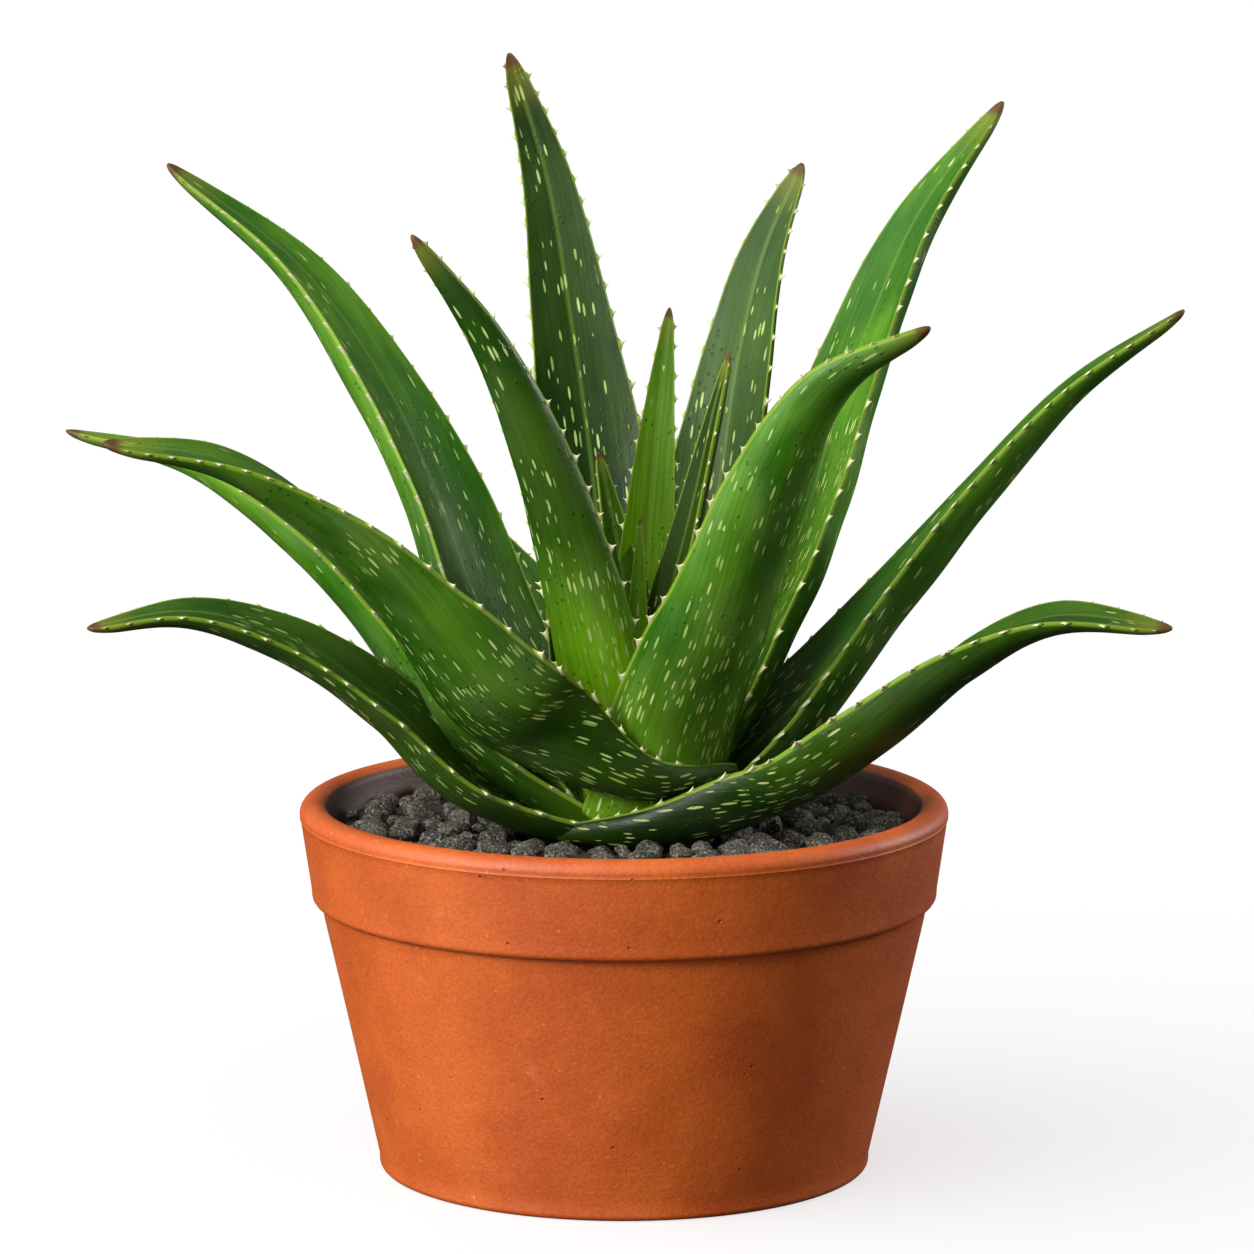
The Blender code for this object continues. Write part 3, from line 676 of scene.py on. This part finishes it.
def make_leaf(leaf, number, material):
    rng = np.random.default_rng(LEAF_SEEDS + number)
    frames = leaf_frames(leaf, rng)
    points, faces, places, kinds = leaf_body(rng, frames)
    more = leaf_teeth(rng, frames, len(points))
    points = np.concatenate([points, more[0]])
    places = np.concatenate([places, more[2]])
    kinds = np.concatenate([kinds, more[3]])
    made = put_in_scene(leaf.name + "_blade", points, faces + more[1], material)
    write_attribute(made.data, "leaf_place", places)
    write_attribute(made.data, "leaf_kind", kinds)
    write_attribute(made.data, "leaf_look", np.tile([*leaf.young, leaf.flecks], (len(points), 1)))
    # leaf.tone holds the leaf's painted shade and painted light at the base and towards the tip.
    write_attribute(made.data, "leaf_seed", np.tile([number * 1.37, *leaf.tone], (len(points), 1)))
    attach(made, ROOT)
    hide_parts(leaf.name)
    return made


# ---------------------------------------------------------------- Pot

def arc(centre, radii, start, end, steps):
    """Points on an elliptical arc, angles in degrees."""
    turns = [math.radians(start + (end - start) * step / steps) for step in range(steps + 1)]
    return [(centre[0] + radii[0] * math.cos(turn), centre[1] + radii[1] * math.sin(turn)) for turn in turns]


def straight(start, end, steps):
    """Points from start to end, without the end itself."""
    return [
        (start[0] + (end[0] - start[0]) * step / steps, start[1] + (end[1] - start[1]) * step / steps)
        for step in range(steps)
    ]


def inner_radius(z):
    """Radius of the pot's inner wall, which runs parallel to its outside."""
    slope = (BODY_TOP_RADIUS - FOOT_RADIUS) / RIM_BOTTOM_Z
    return FOOT_RADIUS + slope * z - WALL


def pot_profile():
    """The pot's section from the middle of the foot, up the outside, over the lip and down inside."""
    lip_z = POT_HEIGHT - LIP_DROP
    lip_half = (RIM_RADIUS - LIP_INNER_RADIUS) / 2
    lip_middle = LIP_INNER_RADIUS + lip_half
    edge = RIM_EDGE_ROUNDING
    inner_top_z = lip_z - LIP_DROP
    floor_edge = (inner_radius(FLOOR + FOOT_ROUNDING), FLOOR + FOOT_ROUNDING)
    profile = straight((FOOT_RADIUS / 4, 0.0), (FOOT_RADIUS - FOOT_ROUNDING, 0.0), 3)
    profile += arc((FOOT_RADIUS - FOOT_ROUNDING, FOOT_ROUNDING), (FOOT_ROUNDING, FOOT_ROUNDING), -90, 0, 5)
    body_low = (FOOT_RADIUS + 0.05 * MM, FOOT_ROUNDING * 2)
    profile += straight(body_low, (BODY_TOP_RADIUS, RIM_BOTTOM_Z - edge), 24)
    profile += [(BODY_TOP_RADIUS, RIM_BOTTOM_Z - edge / 2), (BODY_TOP_RADIUS + 0.4 * MM, RIM_BOTTOM_Z)]
    profile += arc((RIM_BOTTOM_RADIUS - edge, RIM_BOTTOM_Z + edge), (edge, edge), -90, 0, 4)
    band_low = (RIM_BOTTOM_RADIUS + 0.1 * MM, RIM_BOTTOM_Z + 2 * edge)
    band_high = (RIM_RADIUS - 0.3 * MM, MOULD_LINE_Z - 0.4 * MM)
    profile += straight(band_low, band_high, 12) + [band_high]
    profile.append((band_high[0] + MOULD_LINE_HEIGHT, MOULD_LINE_Z))
    profile.append((RIM_RADIUS - 0.25 * MM, MOULD_LINE_Z + 0.4 * MM))
    profile += arc((lip_middle, lip_z), (lip_half, LIP_DROP), 0, 180, 18)
    profile += straight((inner_radius(inner_top_z), inner_top_z), floor_edge, 20)
    profile += arc((floor_edge[0] - FOOT_ROUNDING, floor_edge[1]), (FOOT_ROUNDING, FOOT_ROUNDING), 0, -90, 4)
    profile.append((FOOT_RADIUS / 4, FLOOR))
    return profile


def drain_drills(material):
    """Round bars through the floor of the pot, where its drainage holes are."""
    drills = []
    circle = [math.tau * step / DRAIN_SEGMENTS for step in range(DRAIN_SEGMENTS)]
    for hole in range(DRAIN_HOLES):
        turn = math.tau * (hole + 0.25) / DRAIN_HOLES
        x = DRAIN_CIRCLE * math.cos(turn)
        y = DRAIN_CIRCLE * math.sin(turn)
        points = [
            (x + DRAIN_RADIUS * math.cos(step), y + DRAIN_RADIUS * math.sin(step), z)
            for z in (-FLOOR, 2 * FLOOR)
            for step in circle
        ]
        faces = tube_faces(2, DRAIN_SEGMENTS)
        drills.append(put_in_scene(f"drill_{hole}", points, faces, material, False))
    return drills


def pot_points(profile):
    """Rings of points up the profile, with the faint unevenness of fired clay above the foot."""
    turns = np.linspace(0, math.tau, POT_SEGMENTS, endpoint=False)
    round_place = np.stack([np.cos(turns), np.sin(turns)], axis=1)
    points = []
    for radius, z in profile:
        height = np.full((len(turns), 1), z / (40 * MM))
        # Every ring reads the same waves, so they start again from the same seed.
        rng = np.random.default_rng(POT_SEED)
        unevenness = POT_UNEVENNESS * waves(np.hstack([round_place * 1.6, height]), rng, 1.6)
        unevenness *= 0.0 if z < POT_EVEN_FOOT else 1.0
        reach = (radius - POT_SHRINK + unevenness)[:, None]
        points.append(np.hstack([round_place * reach, np.full((len(turns), 1), z)]))
    return np.concatenate(points)


def face_outwards(mesh):
    shape = bmesh.new()
    shape.from_mesh(mesh)
    bmesh.ops.recalc_face_normals(shape, faces=shape.faces)
    shape.to_mesh(mesh)
    shape.free()


def cut_away(made, cutters):
    """Cut the cutters out of the object and remove them from the scene."""
    for cutter in cutters:
        cut = made.modifiers.new("cut", "BOOLEAN")
        cut.operation = "DIFFERENCE"
        cut.solver = "EXACT"
        cut.object = cutter
    finished = made.evaluated_get(bpy.context.evaluated_depsgraph_get())
    mesh = bpy.data.meshes.new_from_object(finished)
    made.modifiers.clear()
    made.data = mesh
    for cutter in cutters:
        bpy.data.objects.remove(cutter, do_unlink=True)


def make_pot(material):
    """The pot, turned, with its drainage holes cut."""
    profile = pot_profile()
    made = put_in_scene("pot_body", pot_points(profile), tube_faces(len(profile), POT_SEGMENTS), material)
    made.data.set_sharp_from_angle(angle=math.radians(POT_SHARP_ANGLE))
    face_outwards(made.data)
    cut_away(made, drain_drills(material))
    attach(made, ROOT)
    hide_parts("pot")
    return made


# ---------------------------------------------------------------- Gravel

def unit_sphere(subdivisions):
    shape = bmesh.new()
    bmesh.ops.create_icosphere(shape, subdivisions=subdivisions, radius=1.0)
    points = np.array([corner.co[:] for corner in shape.verts])
    faces = [tuple(corner.index for corner in face.verts) for face in shape.faces]
    shape.free()
    return points / np.linalg.norm(points, axis=1)[:, None], faces


def stone(sphere, centre, sizes, rng):
    """A lumpy stone with a few flattened sides, filling the given half sizes."""
    shape = sphere * (1 + STONE_LUMPS * waves(sphere, rng, 2.0))[:, None]
    for _ in range(STONE_FLAT_SIDES):
        way = rng.normal(size=3)
        way /= np.linalg.norm(way)
        beyond = np.maximum(shape @ way - rng.uniform(*STONE_FLAT_PLACES), 0)
        shape -= way * (beyond * STONE_FLATNESS)[:, None]
    roughness = sum(depth * waves(sphere, rng, frequency) for frequency, depth in STONE_ROUGHNESS)
    shape += sphere * roughness[:, None]
    shape /= np.abs(shape).max(axis=0)
    turn = rng.uniform(0, math.tau)
    tilt = rng.uniform(-STONE_TILT, STONE_TILT)
    x, y, z = (shape * sizes).T
    x, z = x * math.cos(tilt) - z * math.sin(tilt), x * math.sin(tilt) + z * math.cos(tilt)
    x, y = x * math.cos(turn) - y * math.sin(turn), x * math.sin(turn) + y * math.cos(turn)
    return np.stack([x, y, z], axis=1) + centre


def make_stones(name, parts, faces_of_one, tones, material, replaced=None):
    """One piece from one or more stones."""
    count = len(parts[0])
    faces = [
        tuple(corner + number * count for corner in face)
        for number in range(len(parts))
        for face in faces_of_one
    ]
    made = put_in_scene(name, np.concatenate(parts), faces, material)
    values = np.repeat(np.array([[tone, 0, 0] for tone in tones]), count, axis=0)
    write_attribute(made.data, "stone_tone", values)
    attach(made, ROOT)
    if replaced:
        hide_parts(replaced)
    return made


def stone_tone(rng):
    return max(0.0, rng.normal(*STONE_TONE))


def make_loose_stones(rng, material):
    """The loose stones where the CAD has them; returns their middles and half lengths."""
    sphere, faces = unit_sphere(4)
    taken = []
    for node in sorted(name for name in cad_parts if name.startswith("gravel_stone_")):
        low, high = (np.array(corner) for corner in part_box(node))
        centre = (low + high) / 2
        half = (high - low) / 2
        across = (half[0] + half[1]) / 2
        sizes = (across * rng.uniform(1.02, 1.18), across * rng.uniform(0.86, 0.98), half[2])
        tone = stone_tone(rng)
        make_stones(node + "_lava", [stone(sphere, centre, sizes, rng)], faces, [tone], material, node)
        taken.append((centre, across))
    return taken


def make_gravel_fill(rng, taken, leaves, material):
    """Smaller stones in the room that the loose ones and the leaves leave free."""
    sphere, faces = unit_sphere(3)
    trees = [BVHTree.FromObject(leaf, bpy.context.evaluated_depsgraph_get()) for leaf in leaves]
    parts, tones = [], []
    for attempt in range(GRAVEL_TRIES):
        radius = math.sqrt(rng.uniform(GRAVEL_INNER**2, GRAVEL_OUTER**2))
        turn = rng.uniform(0, math.tau)
        half_lengths = MIDDLING_STONE if attempt < GRAVEL_TRIES / 2 else SMALL_STONE
        across = rng.uniform(*half_lengths) * MM
        if radius + across > GRAVEL_OUTER + GRAVEL_OVERHANG:
            continue
        z = BED_TOP + rng.uniform(*STONE_LIFT) * MM
        centre = np.array([radius * math.cos(turn), radius * math.sin(turn), z])
        gaps = (math.dist(centre[:2], other[:2]) / (across + reach) for other, reach in taken)
        if any(gap < STONE_CROWDING for gap in gaps):
            continue
        if any(tree.find_nearest(Vector(centre), across * STONE_LEAF_GAP)[0] for tree in trees):
            continue
        shares = (rng.uniform(1.0, 1.2), rng.uniform(0.8, 1.0), rng.uniform(0.62, 0.85))
        parts.append(stone(sphere, centre, tuple(across * share for share in shares), rng))
        tones.append(stone_tone(rng))
        taken.append((centre, across))
    make_stones("gravel_fill", parts, faces, tones, material)


# ---------------------------------------------------------------- Stage

def make_floor():
    """A pale floor that glows a little, so that it stays white beside the shadow."""
    g = Graph("studio_floor")
    g.finish(FLOOR_COLOUR, 0.9)
    g.shader.inputs["Emission Color"].default_value = (1, 1, 1, 1)
    g.shader.inputs["Emission Strength"].default_value = FLOOR_GLOW
    side = FLOOR_HALF_SIDE
    corners = [(-side, -side, 0), (side, -side, 0), (side, side, 0), (-side, side, 0)]
    floor = put_in_scene("floor", corners, [(0, 1, 2, 3)], g.material, False)
    floor.visible_diffuse = False
    floor.visible_glossy = False
    return floor


def make_world():
    """White to the camera; as light, a dim surround with a broad bright patch up on the left."""
    world = bpy.data.worlds.new("studio")
    world.use_nodes = True
    bpy.context.scene.world = world
    nodes, links = world.node_tree.nodes, world.node_tree.links
    nodes.clear()

    def wire(kind, inputs, output=0, **settings):
        made = nodes.new(kind)
        for key, value in settings.items():
            setattr(made, key, value)
        for key, value in inputs.items():
            if isinstance(value, bpy.types.NodeSocket):
                links.new(value, made.inputs[key])
            else:
                made.inputs[key].default_value = value
        return made.outputs[output] if made.outputs else None

    way = wire("ShaderNodeTexCoord", {})
    towards = Vector(BRIGHT_SIDE).normalized()
    facing = wire("ShaderNodeVectorMath", {0: way, 1: towards}, 1, operation="DOT_PRODUCT")
    lobe = wire("ShaderNodeMapRange", {"Value": facing, "From Min": -0.1, "From Max": 1.0, "To Max": 1.0})
    lobe = wire("ShaderNodeMath", {0: lobe, 1: BRIGHT_SIDE_FOCUS}, operation="POWER")
    lobe = wire("ShaderNodeMath", {0: lobe, 1: BRIGHT_SIDE_STRENGTH}, operation="MULTIPLY")
    height = wire("ShaderNodeSeparateXYZ", {0: way}, 2)
    low, high = SKY_STRENGTHS
    sky = {"Value": height, "From Min": -0.3, "From Max": 1.0, "To Min": low, "To Max": high}
    sky = wire("ShaderNodeMapRange", sky)
    light = wire("ShaderNodeMath", {0: lobe, 1: sky}, operation="ADD")
    seen = wire("ShaderNodeLightPath", {})
    dim = wire("ShaderNodeBackground", {"Color": SKY_COLOUR, "Strength": light})
    white = wire("ShaderNodeBackground", {"Color": BACKDROP, "Strength": 1.0})
    both = wire("ShaderNodeMixShader", {0: seen, 1: dim, 2: white})
    wire("ShaderNodeOutputWorld", {"Surface": both})


def area_light(name, floor, place, target, size, power, colour=(1, 1, 1)):
    """A round lamp that lights everything but the floor."""
    data = bpy.data.lights.new(name, "AREA")
    data.shape = "DISK"
    data.size = size
    data.energy = power
    data.color = colour
    made = bpy.data.objects.new(name, data)
    made.location = place
    made.rotation_euler = (Vector(target) - Vector(place)).to_track_quat("-Z", "Y").to_euler()
    bpy.context.scene.collection.objects.link(made)
    group = bpy.data.collections.new(name + "_skips")
    group.objects.link(floor)
    made.light_linking.receiver_collection = group
    group.collection_objects[0].light_linking.link_state = "EXCLUDE"
    return made


def make_camera():
    data = bpy.data.cameras.new("camera")
    data.lens = CAMERA_LENS
    data.sensor_width = CAMERA_SENSOR
    data.clip_start = 0.05
    data.clip_end = 100.0
    made = bpy.data.objects.new("camera", data)
    made.location = CAMERA_PLACE
    made.rotation_euler = (math.radians(CAMERA_TILT), 0, 0)
    bpy.context.scene.collection.objects.link(made)
    bpy.context.scene.camera = made


# ---------------------------------------------------------------- Assembly

def build():
    leaf_skin = leaf_material()
    clay = terracotta_material()
    lava = gravel_material()
    leaves = [make_leaf(leaf, number, leaf_skin) for number, leaf in enumerate(LEAVES)]
    make_pot(clay)
    gravel_rng = np.random.default_rng(GRAVEL_SEED)
    taken = make_loose_stones(gravel_rng, lava)
    make_gravel_fill(gravel_rng, taken, leaves, lava)
    earth = soil_material()
    for node, material in (("soil", earth), ("gravel_bed", earth), ("stem", stem_material())):
        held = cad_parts[node].data.materials
        held.clear()
        held.append(material)
    floor = make_floor()
    make_world()
    area_light("key", floor, **KEY_LIGHT)
    area_light("right_edge", floor, **RIGHT_LIGHT)
    make_camera()
    bpy.context.scene.view_settings.view_transform = "Standard"


build()
